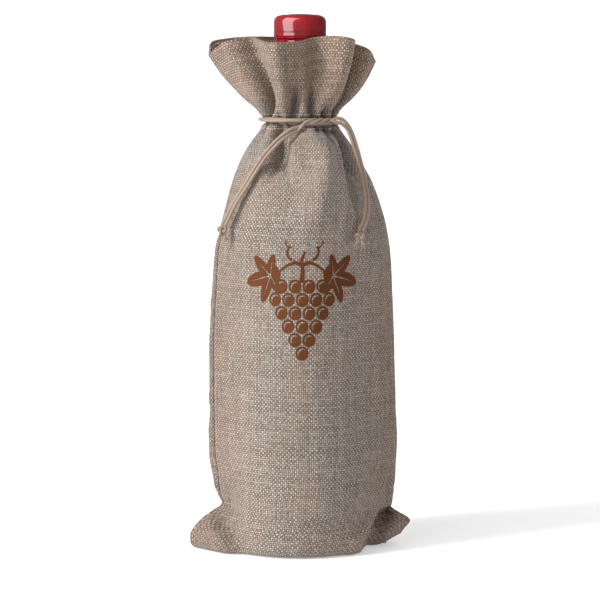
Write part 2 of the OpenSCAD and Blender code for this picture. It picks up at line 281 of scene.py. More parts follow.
def braid(name):
    """Fine braid: two sets of strands that cross. The UV map holds turns round the cord and
    metres along it."""
    material, n = new_material(name, {"Sheen Weight": 0.35, "Sheen Roughness": 0.4})
    around, along = n.cloth_uv()
    lay = n.math("DIVIDE", along, 1.5 * MM)
    turns = n.mul(around, 8.0)
    left, right = (n.math("ABSOLUTE", n.math("SINE", n.mul(n.math(way, turns, lay), math.pi)))
                   for way in ("ADD", "SUBTRACT"))
    height = n.clamp(n.math("MAXIMUM", left, right), 0.55, 1.0)
    fibre = n.streaks(around, along, 40.0, 900.0)
    tone = n.mul_add(fibre, 0.5, n.mul(height, 0.6))
    n.shade("Base Color", n.mix(tone, rgb(90, 72, 59), rgb(161, 140, 122)))
    n.shade("Roughness", n.mul_add(height, -0.15, 0.62))
    n.bump(n.mul_add(fibre, 0.2, height), 0.00012, 0.8)
    return material


def mottled(name, values, scale, detail, dark, light, distance=0.0, strength=0.0):
    """A plain material that varies between two colours and is uneven by the same noise."""
    material, n = new_material(name, values)
    grain = n.noise(n.position(), scale, detail)
    n.shade("Base Color", n.mix(grain, dark, light))
    if distance:
        n.bump(grain, distance, strength)
    return material


def capsule_material():
    """Glossy red foil, with the faint dents and wrinkles of a shrunk sleeve."""
    material, n = new_material("capsule_foil", {"Specular IOR Level": 0.6, "Coat Weight": 0.5,
                                                "Coat Roughness": 0.12})
    place = n.position()
    dents = n.noise(place, 90.0, 2.0)
    x, y, z = n.split(place)
    rings = n.streaks(x, y, 8.0, 8.0, z=n.mul(z, 500.0))
    speckle = n.noise(place, 2500.0, 1.0)
    n.shade("Base Color", n.mix(n.clamp(dents, 0.3, 0.7), rgb(112, 2, 13), rgb(146, 6, 21)))
    n.shade("Roughness", n.mul_add(speckle, 0.07, 0.1))
    n.bump(n.mul_add(rings, 0.35, dents), 0.0004, 0.35)
    return material


def glass_material():
    material, n = new_material("green_glass", {"Base Color": (0.02, 0.05, 0.015, 1.0),
                                               "Transmission Weight": 0.6, "IOR": 1.5})
    waves = n.noise(n.position(), 60.0, 2.0)
    n.shade("Roughness", n.mul_add(waves, 0.04, 0.03))
    n.bump(waves, 0.0003, 0.2)
    return material


def cork_material():
    material, n = new_material("cork", {"Roughness": 0.85})
    grain = n.noise(n.position(), 420.0, 3.0, 0.6)
    pores = n.clamp(n.noise(n.position(), 900.0, 1.0), 0.62, 0.7)
    colour = n.mix(grain, rgb(150, 106, 66), rgb(214, 178, 132))
    n.shade("Base Color", n.mix(pores, colour, rgb(84, 54, 32)))
    n.bump(n.math("SUBTRACT", grain, pores), 0.0003, 0.6)
    return material


# ---- Mesh helpers ----
def add_mesh(name, points, faces, material, uvs=None):
    """A piece from points in millimetres, with a pair of uvs for each. The first of the pair
    grows by ROUND_CORD once round a cord, where the last face has to run on."""
    mesh = bpy.data.meshes.new(name)
    mesh.from_pydata((np.reshape(points, (-1, 3)) * MM).tolist(), [], faces)
    mesh.shade_smooth()
    if uvs is not None:
        layer = mesh.uv_layers.new(name="Cloth")
        corners = np.empty(len(mesh.loops), np.int64)
        mesh.loops.foreach_get("vertex_index", corners)
        spread = np.reshape(np.asarray(uvs, float), (-1, 2))[corners]
        starts = np.empty(len(mesh.polygons), np.int64)
        mesh.polygons.foreach_get("loop_start", starts)
        widest = np.maximum.reduceat(spread[:, 0], starts)
        sizes = np.diff(np.append(starts, len(spread)))
        spread[:, 0] += ROUND_CORD * (np.repeat(widest, sizes) - spread[:, 0] > ROUND_CORD / 2)
        layer.data.foreach_set("uv", (spread * MM).astype(np.float32).ravel())
    mesh.materials.append(material)
    return add_object(name, mesh)


def cad_box(node):
    """The two corners of a CAD node's box, in millimetres."""
    return [np.array(corner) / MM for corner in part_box(node)]


def grid_faces(rows, columns, flip=False):
    """Quads of a grid of points stored row by row."""
    corner = (np.arange(rows - 1)[:, None] * columns + np.arange(columns - 1)).ravel()
    quads = np.stack([corner, corner + 1, corner + columns + 1, corner + columns], 1)
    return (quads[:, ::-1] if flip else quads).tolist()


def ring_faces(rings, sides, closed=False, capped=False):
    """Faces of a tube whose points are stored ring by ring."""
    faces = []
    for i in range(rings if closed else rings - 1):
        a, b = i * sides, (i + 1) % rings * sides
        faces += [[a + k, a + (k + 1) % sides, b + (k + 1) % sides, b + k] for k in range(sides)]
    if capped:
        faces += [list(range(sides))[::-1], [(rings - 1) * sides + k for k in range(sides)]]
    return faces


def thicken(piece, thickness):
    """Gives a sheet its thickness, inwards."""
    modifier = piece.modifiers.new("thickness", "SOLIDIFY")
    modifier.thickness = thickness * MM
    modifier.offset = -1.0
    modifier.use_rim = True
    graph = bpy.context.evaluated_depsgraph_get()
    mesh = bpy.data.meshes.new_from_object(piece.evaluated_get(graph))
    piece.modifiers.clear()
    piece.data = mesh
    mesh.shade_smooth()
    return piece


def add_joined(name, parts, material):
    """One piece out of several sets of points, faces and UVs."""
    points, faces, uvs, start = [], [], [], 0
    for part_points, part_faces, part_uvs in parts:
        points.append(part_points)
        faces += [[i + start for i in face] for face in part_faces]
        uvs.append(part_uvs)
        start += len(part_points)
    return add_mesh(name, np.concatenate(points), faces, material, np.concatenate(uvs))


def curve_through(keys, values, at):
    """A smooth curve through values at keys that doesn't overshoot them."""
    keys, values = np.asarray(keys, float), np.asarray(values, float)
    step = np.diff(keys)
    slope = np.diff(values) / step
    same = slope[:-1] * slope[1:] > 0
    inner = np.zeros(len(keys) - 2)
    w1, w2 = 2 * step[1:] + step[:-1], step[1:] + 2 * step[:-1]
    inner[same] = (w1 + w2)[same] / (w1[same] / slope[:-1][same] + w2[same] / slope[1:][same])
    bend = np.concatenate([[slope[0]], inner, [slope[-1]]])
    at = np.clip(at, keys[0], keys[-1])
    i = np.clip(np.searchsorted(keys, at, side="right") - 1, 0, len(step) - 1)
    h = step[i]
    t = (at - keys[i]) / h
    return (values[i] * (1 + 2 * t) * (1 - t) ** 2 + h * bend[i] * t * (1 - t) ** 2
            + values[i + 1] * t * t * (3 - 2 * t) + h * bend[i + 1] * t * t * (t - 1))


def smooth_step(t):
    t = np.clip(t, 0.0, 1.0)
    return t * t * (3 - 2 * t)


def between(z, low, rise, high, fall):
    """1 between two heights, with soft ends."""
    return smooth_step((z - low) / rise) * smooth_step((high - z) / fall)


def together(*parts):
    """Values side by side in a last axis."""
    return np.stack(np.broadcast_arrays(*parts), -1)


def unit(vectors):
    return vectors / np.linalg.norm(vectors, axis=-1)[..., None]


def length_along(path):
    """How far along a path each of its points is."""
    return np.concatenate([[0.0], np.cumsum(np.linalg.norm(np.diff(path, axis=0), axis=1))])


def ripple(x, y, size, seed):
    """Soft random waves of about that size, from -1 to 1."""
    draw = np.random.default_rng(seed)
    total = 0.0
    for _ in range(7):
        turn, phase = draw.uniform(0, math.tau, 2)
        rate = math.tau / size * draw.uniform(0.6, 1.5)
        total += np.sin((np.cos(turn) * x + np.sin(turn) * y) * rate + phase)
    return total / 4.0


def smooth_route(route, spacing=0.35):
    """Points at an even spacing along a smooth curve through the route's points."""
    route = np.asarray(route, float)
    padded = np.vstack([2 * route[0] - route[1], route, 2 * route[-1] - route[-2]])
    fine, steps = [], 12
    for p0, p1, p2, p3 in zip(padded, padded[1:], padded[2:], padded[3:]):
        for k in range(steps):
            t = k / steps
            fine.append(0.5 * (2 * p1 + (p2 - p0) * t + (2 * p0 - 5 * p1 + 4 * p2 - p3) * t ** 2
                               + (3 * p1 - p0 - 3 * p2 + p3) * t ** 3))
    fine = np.array([*fine, route[-1]])
    far = length_along(fine)
    at = np.linspace(0.0, far[-1], max(int(round(far[-1] / spacing)), 4) + 1)
    return np.stack([np.interp(at, far, fine[:, k]) for k in range(3)], 1)


def tube(path, radius, sides=14, relief=0.0, closed=False):
    """A tube along a path: points, faces and UVs. Relief raises its crossing strands."""
    along = unit(np.roll(path, -1, 0) - np.roll(path, 1, 0) if closed else np.gradient(path, axis=0))
    side = np.cross(along[0], [0.13, 0.71, 0.69])
    carried = []
    for direction in along:
        side = unit(side - direction * (side @ direction))
        carried.append(side)
    side = np.array(carried)
    up = np.cross(along, side)
    far = length_along(path)
    turn = math.tau * np.arange(sides) / sides
    lay = far[:, None] * math.tau / 3.0
    crossing = np.maximum(np.abs(np.sin(4 * turn + lay)), np.abs(np.sin(4 * turn - lay)))
    radius = radius + relief * (crossing - 1.0)
    points = (path[:, None] + radius[..., None] * (np.cos(turn)[:, None] * side[:, None]
                                                   + np.sin(turn)[:, None] * up[:, None]))
    uvs = together(turn / math.tau * ROUND_CORD, far[:, None]).reshape(-1, 2)
    return points.reshape(-1, 3), ring_faces(len(path), sides, closed, capped=not closed), uvs


# ---- Free strands of the drawstrings ----
ROUTES = {
    "left_tail_a": [
        (-1.5, -23.5, 241), (-4, -24.5, 240.5), (-7.5, -25.5, 239), (-11, -26, 236.5), (-14.5, -26.5, 233.5),
        (-18, -27, 230), (-21.5, -27, 226), (-24.5, -27, 221.5), (-27.5, -26.5, 217), (-30.5, -26, 212),
        (-33.5, -25.5, 207), (-36.5, -24, 202), (-39, -22.5, 197), (-41, -21, 192), (-43, -19, 187)],
    "left_tail_b": [
        (-1.5, -23.5, 239), (-4, -24.5, 238), (-7, -25.5, 236), (-10, -26.5, 233.5), (-13, -27.5, 230.5),
        (-16, -28, 227), (-19, -28.5, 223), (-22, -29, 218.5), (-25, -29, 213.5), (-28, -29, 208.5),
        (-31.5, -28, 203.5), (-34.5, -26.5, 199), (-37, -25, 194.5), (-39.5, -22.5, 190), (-42, -20.5, 186)],
    "right_tail_a": [
        (20.5, -15.5, 246), (23, -15, 245.5), (25.5, -14.5, 244), (28, -14, 241), (30, -14, 237),
        (31.5, -15, 232.5), (33, -16, 227.5), (34.5, -17, 222), (36, -18.5, 216), (37, -20.5, 210),
        (38, -22.5, 204), (38.5, -24.5, 198.5), (38, -27, 193), (36.5, -29.5, 188), (34.5, -31.5, 183.5)],
    "right_tail_b": [
        (20.5, -16.5, 243.5), (22.5, -16, 243), (24.5, -15.5, 241.5), (26.5, -15.5, 238.5), (28, -16, 234.5),
        (29.5, -17, 230), (31, -18, 225), (32.5, -19.5, 219.5), (34, -21, 213.5), (35, -23, 208),
        (36, -25, 202), (36, -27, 196.5), (35.5, -29, 191.5), (34, -30.5, 187), (32.5, -32, 183.5)]}
KNOTS = {"left": (-43.5, -21, 183.5), "right": (33, -33.5, 181)}
PAIR_GAP = 1.95


def strand_path(name):
    """The route of one free strand, drawn to its mate until the two lie side by side."""
    other = name[:-1] + ("b" if name.endswith("a") else "a")
    path, mate = smooth_route(ROUTES[name]), smooth_route(ROUTES[other])
    nearest = mate[np.argmin(np.linalg.norm(path[:, None] - mate[None], axis=2), axis=1)]
    off = nearest - path
    far = np.linalg.norm(off, axis=1)
    share = between(np.linspace(0, 1, len(path)), 0, 0.12, 1, 0.06)
    move = np.maximum(far - PAIR_GAP, 0) / 2 * share
    window = np.hanning(21) / np.hanning(21).sum()
    move = np.convolve(np.pad(move, 10, mode="edge"), window, "valid")
    drawn = path + off * (move / np.maximum(far, 0.01))[:, None]
    return smooth_route(np.vstack([drawn[:-5:8], drawn[-1]]))


def add_end_knot(side, material):
    """A tight overhand knot: a cord that runs along a trefoil."""
    t = np.linspace(0, math.tau, 120, endpoint=False)
    loop = 0.74 * np.stack([np.sin(t) + 2 * np.sin(2 * t), -1.25 * np.sin(3 * t),
                            np.cos(t) - 2 * np.cos(2 * t)], 1)
    knot = tube(loop + KNOTS[side], 0.98, sides=12, relief=0.07, closed=True)
    return add_joined(side + "_overhand_knot", [knot], material)


def add_frays(side, material):
    """The cut ends below a knot, with their fibres spread."""
    draw = np.random.default_rng(5 if side == "left" else 6)
    knot = np.array(KNOTS[side])
    parts = []
    for lean in (-1, 1):
        root = knot + [lean * 1.0, 0, -1.6]
        tip = knot + [lean * 1.9, 0, -4.3]
        parts.append(tube(smooth_route([root, (root + tip) / 2, tip], 0.4), 0.75, sides=10, relief=0.06))
        for _ in range(16):
            start = tip + [*draw.uniform(-0.45, 0.45, 2), 0.4]
            spread = draw.uniform(-0.9, 0.9, 2)
            end = start + [spread[0] + lean * 0.5, spread[1] * 0.8, -draw.uniform(1.5, 2.9)]
            middle = (start + end) / 2 + [*draw.uniform(-0.25, 0.25, 2), 0]
            parts.append(tube(smooth_route([start, middle, end], 0.5), 0.11, sides=5))
    return add_joined(side + "_cut_ends", parts, material)


# ---- Cloth of the bag ----
# Cross-sections of the filled bag: how far up the cloth from the bottom seam, height,
# reach to the left, right, front and back, and how pointed it is at the sides.
SECTIONS = np.array([
    (0, 0.6, 57, 54.5, 0, 0, 0.5),
    (18, 0.5, 58.5, 57, 18, 18, 0.9),
    (36, 0.6, 60.5, 58, 36, 36, 1.3),
    (41, 3, 62.6, 60, 39.6, 39.6, 1.5),
    (46, 7.5, 63, 63.6, 40.8, 41, 1.6),
    (52, 13.5, 60.4, 57.6, 41, 41, 1.6),
    (57, 18.5, 54.6, 52.6, 41, 41, 1.4),
    (63, 24.7, 44.8, 53, 40.8, 40.8, 1.2),
    (71, 32, 47.4, 53.8, 40.6, 40.6, 1.2),
    (99, 60, 52, 55.5, 40.2, 40.2, 1.3),
    (149, 110, 52.3, 54.5, 40.2, 40.2, 1.3),
    (189, 150, 50.3, 52.8, 40.4, 40.2, 1.15),
    (207, 168, 48.6, 51.5, 40.6, 40, 0.8),
    (223, 184, 45.2, 49, 40.4, 40, 0.4),
    (236, 197, 41.5, 45.6, 39.4, 38.5, 0.2),
    (250, 210, 38, 40.5, 36.5, 35.5, 0.1),
    (263, 221, 33.7, 34.3, 32.0, 31, 0.05),
    (276, 232, 28.0, 28.2, 26.6, 26.5, 0.1),
    (284, 238.2, 24.2, 24.2, 23.9, 23.6, 0),
    (288, 241.2, 22.4, 22.2, 22.2, 21.8, 0),
    (291, 243.8, 19.5, 19.5, 19.4, 19.4, 0),
    (294, 246.5, 22.4, 21.8, 22.0, 21.8, 0),
    (298, 250, 25.2, 24.2, 24.2, 24, 0),
    (305, 255.3, 31.0, 29.5, 26.4, 26, 0.1),
    (313, 261.5, 37.2, 34.5, 27.6, 26.6, 0.2),
    (323, 269.5, 44.6, 39, 28.6, 27.4, 0.35),
    (335, 279, 51.5, 42.7, 29.4, 28, 0.5)], float)
TIE_AT = 291.0
RIM_AT = 335.0
RIM_BASE_Z = 279.0

# Angles go round from the left (0) by the front (90) and the right (180) to the back (270).
# Where the two side seams lie, by height.
SEAM_Z = [0, 25, 45, 150, 200, 225, 244, 262, 280]
LEFT_SEAM = [0, 10, 19, 18, 12, 8, 5, 2, 0]
RIGHT_SEAM = [180, 186, 194, 192, 184, 172, 162, 153, 149]

# Height of the rim round the mouth.
RIM_ANGLE = [-10, 0, 20, 40, 58, 75, 90, 105, 120, 135, 150, 165, 180, 200, 230, 265, 300, 330, 350, 360]
RIM_Z = [283, 279.4, 284, 288.5, 290, 287.8, 287.6, 289.8, 291, 289, 284, 280, 277, 281, 287.5, 289.5,
         290.5, 288.5, 283, 279.4]

# Pleats drawn in by the cord: angle at the tie, angle far below, angle far above, depth,
# and how far they reach down and up the cloth.
PLEATS = [
    (2, 4, 4, 2.6, 20, 16), (22, 26, 60, 6.8, 22, 52), (54, 66, 66, 5.0, 50, 7),
    (76, 80, 88, 9.0, 16, 46), (96, 94, 97, 2.6, 10, 9), (117, 116, 104, 7.0, 20, 36),
    (134, 128, 128, 6.4, 26, 17), (158, 146, 150, 6.2, 54, 34), (180, 180, 174, 3.4, 26, 44),
    (203, 206, 198, 5.0, 44, 40), (232, 228, 237, 6.2, 64, 44), (260, 262, 262, 4.2, 26, 20),
    (288, 286, 291, 6.0, 54, 40), (318, 314, 320, 5.6, 60, 44), (342, 345, 342, 3.8, 30, 26)]

# Waves of the ruffle at its rim: angle, how far out, and width of the wave in degrees.
WAVES = [(24, -1.0, 14), (56, -8.5, 9), (80, 6.5, 9), (109, -10.5, 13), (128, 6.4, 10), (148, -9.5, 8),
         (212, 4.5, 12), (240, -9.0, 10), (266, 5.5, 12), (298, -9.0, 11), (332, 4.0, 14)]


def apart(angle, centre):
    return (angle - centre + 180.0) % 360.0 - 180.0


def hump(x, width, power=2.0):
    return np.exp(-np.abs(x / width) ** power)


def pleat_relief(angle, up, girth_r):
    """How far the gathered cloth lies inside its even section. The pleats are held flat by
    the cord and open where they leave it."""
    relief = np.zeros(np.broadcast(angle, up).shape)
    away = np.abs(up - TIE_AT)
    opened = 0.8 + 0.75 * smooth_step((away - 1) / 6)
    width = np.degrees((2.4 + 0.07 * away) / girth_r)
    for at_tie, below, above, depth, down_reach, up_reach in PLEATS:
        far = away / np.where(up < TIE_AT, down_reach, up_reach)
        centre = at_tie + (np.where(up < TIE_AT, below, above) - at_tie) * (1 - np.exp(-away / 8))
        relief -= depth * opened * (1 - smooth_step(far)) * hump(apart(angle, centre), width, 1.6)
    return relief


def fold_relief(angle, z, from_seam):
    """The single folds of the filled bag, and the soft unevenness of the cloth. They fade out
    near the side seams, so the two panels meet."""
    shoulder = between(z, 178, 22, 241, 10)
    edge = np.interp(z, [185, 195, 206, 220, 235], [134, 128, 124, 128, 138])
    past = angle - edge
    tuck = np.where(past > 0, np.exp(-np.abs(past) / 28.0) * smooth_step(past / 2.4), 0.0)
    relief = -10.0 * shoulder * tuck + 1.8 * shoulder * hump(past + 4, 5)
    crest = np.interp(z, [150, 196, 226, 240], [97, 101, 114, 118])
    ridge = between(z, 166, 34, 243, 8)
    off = angle - crest
    past_crest = 0.5 * hump(off, 7.5, 1.3) + 0.5 * hump(off, 24, 1.8)
    relief += 9.2 * ridge * np.where(off < 0, hump(off, 14), past_crest)
    valley = np.interp(z, [180, 200, 226, 240], [74, 73, 69, 62])
    relief -= 9.0 * between(z, 186, 28, 243, 8) * hump(angle - valley, 9.5)
    back_folds = hump(angle + 78, 12) - 0.8 * hump(angle + 55, 9) + 0.7 * hump(angle + 125, 12)
    relief += 2.2 * ridge * back_folds
    girth = angle * 0.82
    loose = between(z, 0, 25, 246, 20)
    relief += loose * (0.9 * ripple(girth, z * 0.45, 62, 11) + 0.35 * ripple(girth, z, 21, 12))
    low_right = hump(angle - 132, 22) * hump(z - 48, 26)
    relief += 0.7 * low_right * np.sin(z / 2.3 + girth / 9.0)
    return smooth_step(from_seam / 22.0) * (relief + 0.1 * ripple(girth, z, 7, 13))


def wave_relief(angle, up, from_seam):
    relief = 0.25 * smooth_step(from_seam / 22.0) * ripple(angle * 0.7, up, 16, 14)
    for centre, out, width in WAVES:
        relief += out * hump(apart(angle, centre), width)
    return smooth_step((up - TIE_AT - 3) / 34) * relief


def seam_angles(up):
    z = curve_through(SECTIONS[:, 0], SECTIONS[:, 1], up)
    return np.interp(z, SEAM_Z, LEFT_SEAM), np.interp(z, SEAM_Z, RIGHT_SEAM)


LEVELS = np.arange(0.0, 304.0, 2.0)
CAPSULE_R = 14.65
LIFT = 10.0


def bottle_radius():
    """How far the bottle reaches from its axis, at every second millimetre of height."""
    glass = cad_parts["bottle_glass"]
    reach = []
    for z in LEVELS:
        hit, spot, _, _ = glass.ray_cast((0.2, 0.0003, z * MM), (-1.0, 0.0, 0.0))
        reach.append(spot.x / MM if hit else 0.0)
    return np.maximum(reach, CAPSULE_R)


BOTTLE_R = bottle_radius()
# The cloth also stays clear of the bottle when it is raised.
ROOM_R = np.max([np.interp(LEVELS - lift, LEVELS, BOTTLE_R) for lift in np.arange(LIFT + 1)], axis=0)


def cloth_points(angle, up, inset=0.0):
    """Points of the bag's outer face at angles and distances up the cloth, which broadcast
    against each other, moved in by inset."""
    angle, up = np.broadcast_arrays(angle, up)
    z, left, right, front, back, point = (curve_through(SECTIONS[:, 0], SECTIONS[:, k], up)
                                          for k in range(1, 7))
    turn = np.radians(angle)
    cos, sin = np.cos(turn), np.sin(turn)
    half, middle = (left + right) / 2, (right - left) / 2
    deep = np.where(sin > 0, front, back)
    x = middle - half * cos
    y = -deep * np.sign(sin) * np.abs(sin) ** (1 + point)
    out = unit(together(-cos * np.maximum(deep, 1), -sin * half))
    left_seam, right_seam = seam_angles(up)
    gap = np.minimum(np.abs(apart(angle, left_seam)), np.abs(apart(angle, right_seam)))
    stand = smooth_step((z - 8) / 20)
    groove = -(1.3 - 0.6 * smooth_step((z - 160) / 40)) * stand * hump(np.radians(gap) * half, 1.1)
    move = pleat_relief(angle, up, (half + deep) / 2 + 1) + fold_relief(angle, z, gap) * stand
    move = move + wave_relief(angle, up, gap) + groove - inset
    x += out[..., 0] * move
    y += out[..., 1] * move
    reach = np.hypot(x, y)
    spare = 1.5 + 0.7 * smooth_step((z - 222) / 14) - inset
    short = np.interp(z, LEVELS, ROOM_R) + spare - reach
    push = np.where(z > 2, 0.5 * (short + np.hypot(short, 0.8)), 0.0)
    wider = 1 + push / np.maximum(reach, 1)
    x, y = x * wider, y * wider
    share = np.clip((up - TIE_AT - 7) / (RIM_AT - TIE_AT - 7), 0, 1) ** 1.3
    rim = curve_through(RIM_ANGLE, RIM_Z, angle % 360.0)
    z += (rim - RIM_BASE_Z) * share
    return shape_ears(x, y, z)


def shape_ears(x, y, z):
    """The bottom corners: the right one is folded back behind a sharp crease and lifts its
    tip, and the left one is bent forward, with a hollow where it leaves the body."""
    low = smooth_step((25 - z) / 9)
    past = x - 31.4 - 0.6 * z
    right = smooth_step(past / 2.2) * (1 - 0.6 * smooth_step((past - 3) / 16)) * low
    ahead = smooth_step(-y / 12)
    left = smooth_step((-36 - 0.35 * z - x + (7 - 0.25 * z) * ahead) / (9 + 6 * ahead)) * low
    bulge = 2.6 * low * hump(past + 3, 4)
    beside_bottle = smooth_step((x - 33.5) / 5)
    beside = x + 41.0 - 0.72 * (24.7 - z)
    hollow = 4.0 * hump(beside + 6, 6.5) * hump(z - 13, 8) + 1.2 * hump(beside - 1.5, 2.2) * hump(z - 15, 7)
    hollow = hollow * smooth_step((-y - 2) / 6)
    folded = 17.0 * right * beside_bottle * smooth_step((36 + y) / 12)
    y = y + folded - 7.5 * left - bulge * (y < -4) + hollow
    z = z + 5.6 * low * smooth_step((x - 41) / 22)
    return together(x, y, z)


class Panel:
    """A grid of cloth points, even along each row. across runs from the left seam to the
    right one, in millimetres of cloth, and up from the bottom seam to the rim."""

    def __init__(self, back, up, inset=0.0, columns=128):
        self.across = np.linspace(0, PANEL_W, columns + 1)
        self.up = up
        left, right = (a[:, None] for a in seam_angles(self.up))
        dense = left + ((right - left) - 360.0 * back) * np.linspace(0, 1, 721)
        even = []
        for line, angles in zip(cloth_points(dense, self.up[:, None]), dense):
            far = length_along(line)
            even.append(np.interp(np.linspace(0, far[-1], columns + 1), far, angles))
        self.angle = np.array(even)
        self.points = cloth_points(self.angle, self.up[:, None], inset)
        self.flip = back

    def uvs(self):
        across, up = np.meshgrid(self.across, self.up)
        return together(across + (BACK_WEAVE_AT if self.flip else 0.0), up)

    def on_cloth(self, across, up, lift=0.0):
        """Points on the panel, raised from it by lift."""
        i, j = (np.clip(np.interp(at, ticks, np.arange(len(ticks))), 0, len(ticks) - 1.001)
                for at, ticks in ((up, self.up), (across, self.across)))
        i0, j0 = i.astype(int), j.astype(int)
        fi, fj = (i - i0)[..., None], (j - j0)[..., None]
        p = self.points
        a, b, c, d = p[i0, j0], p[i0, j0 + 1], p[i0 + 1, j0], p[i0 + 1, j0 + 1]
        place = (a * (1 - fj) + b * fj) * (1 - fi) + (c * (1 - fj) + d * fj) * fi
        out = np.cross((b - a) + (d - c), (c - a) + (d - b))
        out /= np.linalg.norm(out, axis=-1)[..., None] + 1e-9
        return place + out * (-lift if self.flip else lift)


def add_panel(panel, name, material):
    """Outer cloth with its folded rim."""
    rim = panel.points[-1]
    inward = cloth_points(panel.angle[-1:], [[RIM_AT]], 1.0)[0] - rim
    fold = [rim + inward * share + [0, 0, rise]
            for share, rise in ((0.35, 0.45), (1.0, 0.6), (1.6, 0.35), (1.9, -0.5))]
    points = np.concatenate([panel.points, fold])
    faces = grid_faces(*points.shape[:2], panel.flip)
    uvs = panel.uvs()
    uvs = np.concatenate([uvs] + [uvs[-1:] + [0, 0.6 * (k + 1)] for k in range(len(fold))])
    return thicken(add_mesh(name, points, faces, material, uvs), 0.8)


def add_facing(back, name, material):
    """The top of the panel, turned in at the rim and sewn down at the channel. It stays clear
    of the bottle's neck."""
    up = np.concatenate([np.arange(285.5, RIM_AT - 1.5, 1.2), [RIM_AT - 0.6]])
    panel = Panel(back, up, inset=1.45, columns=180)
    points = panel.points
    radius = np.linalg.norm(points[..., :2], axis=-1)
    clear, crimp, crimps = 15.4, 1.5, 36
    gathered = 1 - smooth_step((up - TIE_AT) / 34.0)[:, None]
    room = np.minimum(crimp * gathered, np.maximum(radius - clear, 0) / 2)
    fine = room * (1 + np.sin(np.radians(panel.angle) * crimps))
    points[..., :2] *= ((np.maximum(radius, clear) - fine) / radius)[..., None]
    faces = grid_faces(*panel.angle.shape, panel.flip)
    return thicken(add_mesh(name, points, faces, material, panel.uvs() * [1, -1]), 0.7)


# ---- Seams and stitches ----
def add_side_allowance(side, front, material):
    """The sewn edges of the two panels, folded together inside a side seam."""
    chosen = (front.up > 47) & (front.up < 274)
    edge, up = front.points[chosen, 0 if side == "left" else -1], front.up[chosen]
    inward = unit(-edge * [1, 1, 0])
    across = np.cross(inward, unit(np.gradient(edge, axis=0)))
    ruffled = 0.35 * np.sin(up / 2.2)[:, None] * across
    corners = [(2.0, -0.25), (2.0, 0.25), (4.8, 0.5), (4.8, -0.5)]
    points = np.stack([edge + inward * deep + across * wide + ruffled * (deep > 2)
                       for deep, wide in corners], 1)
    reach = np.hypot(points[..., 0], points[..., 1])
    short = np.maximum(np.interp(points[..., 2], LEVELS, ROOM_R) + 0.5 - reach, 0)
    points[..., :2] *= (1 + short / reach)[..., None]
    uvs = together([0, 1.2, 4.2, 5.4], up[:, None])
    return add_mesh(side + "_seam_allowance", points, ring_faces(len(edge), 4, capped=True), material, uvs)


def add_bottom_allowance(material):
    """The sewn edges of the panels inside the bottom, laid over to the back."""
    low, high = cad_box("bottom_seam")
    x, y = np.meshgrid(np.linspace(low[0], high[0], 80), np.linspace(low[1], high[1], 9))
    z = high[2] - 0.15 - 0.12 * (1 + np.sin(x / 3.1 + y / 2.0))
    return thicken(add_mesh("bottom_seam_allowance", together(x, y, z), grid_faces(*x.shape), material,
                            together(x, y)), 0.7)


def add_channel_stitches(panels, material):
    """Two rows of running stitch round the gathered neck, above and below the cord."""
    length, pitch, rise, sunk = 2.4, 3.6, 0.28, 0.25
    arch = np.sin(np.linspace(0, math.pi, 6))[:, None] * (rise + sunk) - sunk
    parts = []
    for panel in panels:
        for up in (np.full(6, TIE_AT - 4.6), np.full(6, TIE_AT + 4.6)):
            for start in np.arange(1.5, PANEL_W - length, pitch):
                across = np.linspace(start, start + length, 6)
                line = panel.on_cloth(across, up)
                out = panel.on_cloth(across, up, 1.0) - line
                parts.append(tube(line + out * arch, 0.2, sides=6))
    return add_joined("channel_stitches", parts, material)


# ---- Print ----
GRAPE_PITCH = 8.6
GRAPE_ROWS = (4, 5, 4, 3, 2, 1)
SHINE_R = 2.75
# Lobes of a leaf: direction, reach of the lobe, its width, reach of its vein.
LOBES = ((0.0, 1.0, 0.30, 0.84), (0.95, 0.86, 0.27, 0.70), (-0.95, 0.86, 0.27, 0.70),
         (1.95, 0.66, 0.30, 0.5), (-1.95, 0.66, 0.30, 0.5))


def segment_distance(x, z, a, b):
    """Distance to a straight line from a to b, and how far along it the nearest point is."""
    dx, dz = b[0] - a[0], b[1] - a[1]
    t = np.clip(((x - a[0]) * dx + (z - a[1]) * dz) / (dx * dx + dz * dz), 0, 1)
    return np.hypot(x - a[0] - t * dx, z - a[1] - t * dz), t


def half_turn(angle):
    """The same angle from -pi to pi."""
    return np.arctan2(np.sin(angle), np.cos(angle))


def leaf_field(x, z, place, size, lean):
    """Positive inside a vine leaf with five pointed, toothed lobes, with its veins left out."""
    px, pz = x - place[0], z - place[1]
    radius, turn = np.hypot(px, pz), half_turn(np.arctan2(pz, px) - lean)
    edge = np.full(radius.shape, 0.30)
    for lobe, reach, width, _ in LOBES:
        off = np.abs(half_turn(turn - lobe))
        edge = np.maximum(edge, reach * (1 - 0.62 * smooth_step(off / (2.1 * width))))
    teeth = 0.055 * np.abs(((turn * 6.2 / math.pi) % 1.0) * 2 - 1) * smooth_step(radius / size * 2)
    inside = (edge + teeth - 0.02) * size - radius
    for lobe, _, _, vein in LOBES:
        reach, way = size * vein, lobe + lean
        tip = (place[0] + reach * math.cos(way), place[1] + reach * math.sin(way))
        off, t = segment_distance(x, z, place, tip)
        inside = np.minimum(inside, off - 0.42 * (1 - 0.75 * t))
    return inside


def line_field(x, z, points, wide):
    """Positive inside a line that tapers to its end."""
    best = np.full(x.shape, -9.0)
    for k in range(len(points) - 1):
        off, t = segment_distance(x, z, points[k], points[k + 1])
        taper = wide * (1 - 0.6 * (k + t) / (len(points) - 1))
        best = np.maximum(best, taper - off)
    return best


